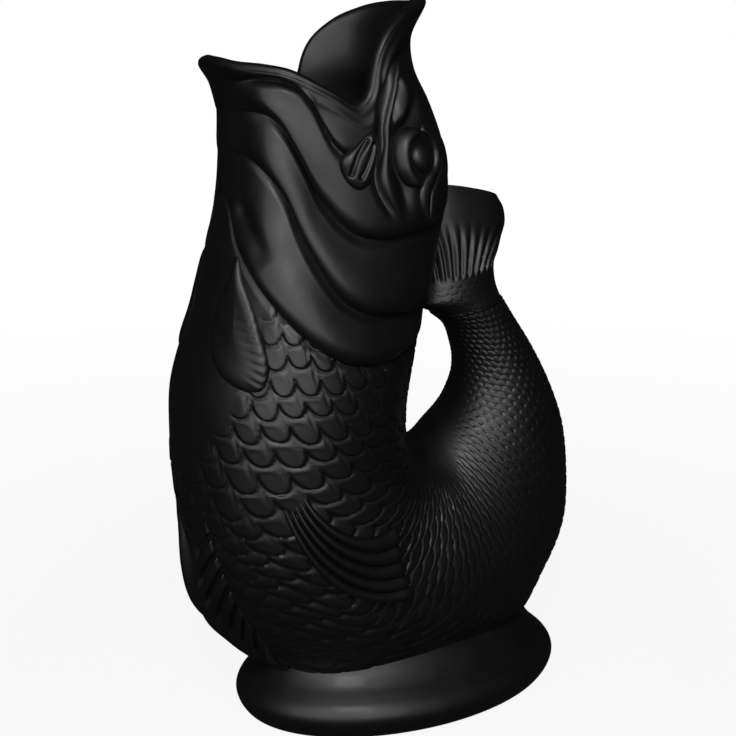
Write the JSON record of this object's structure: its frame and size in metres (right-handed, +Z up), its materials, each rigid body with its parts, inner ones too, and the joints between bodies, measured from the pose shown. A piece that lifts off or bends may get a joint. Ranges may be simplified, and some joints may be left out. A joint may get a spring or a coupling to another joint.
{
  "type": "gurgle jug",
  "caption": "Glazed ceramic water jug shaped as an upright fish: open mouth spout, scaled hollow body, tail curled up as the handle, oval foot.",
  "frame": {"origin": "on the table, under the middle of the jug's length and width", "axes": "+Z up, +X from the spout towards the tail handle, +Y across the jug"},
  "size_m": [0.1553, 0.0874, 0.25],
  "materials": {
    "black_glaze": "gloss"
  },
  "bodies": {
    "root": {"foot": "black_glaze", "belly_shell": "black_glaze", "trunk_shell": "black_glaze", "lower_gill_plate": "black_glaze", "upper_gill_plate": "black_glaze", "lower_jaw": "black_glaze", "upper_jaw": "black_glaze", "tail_handle": "black_glaze", "tail_fluke": "black_glaze", "left_eye": "black_glaze", "right_eye": "black_glaze", "left_eyelid": "black_glaze", "right_eyelid": "black_glaze", "left_cheek_ridge": "black_glaze", "right_cheek_ridge": "black_glaze", "left_brow_ridge": "black_glaze", "right_brow_ridge": "black_glaze", "left_jaw_lobe": "black_glaze", "right_jaw_lobe": "black_glaze", "left_pectoral_fin": "black_glaze", "right_pectoral_fin": "black_glaze", "left_side_fin": "black_glaze", "right_side_fin": "black_glaze", "left_belly_fin": "black_glaze", "right_belly_fin": "black_glaze", "rear_fin": "black_glaze"}
  },
  "joints": []
}
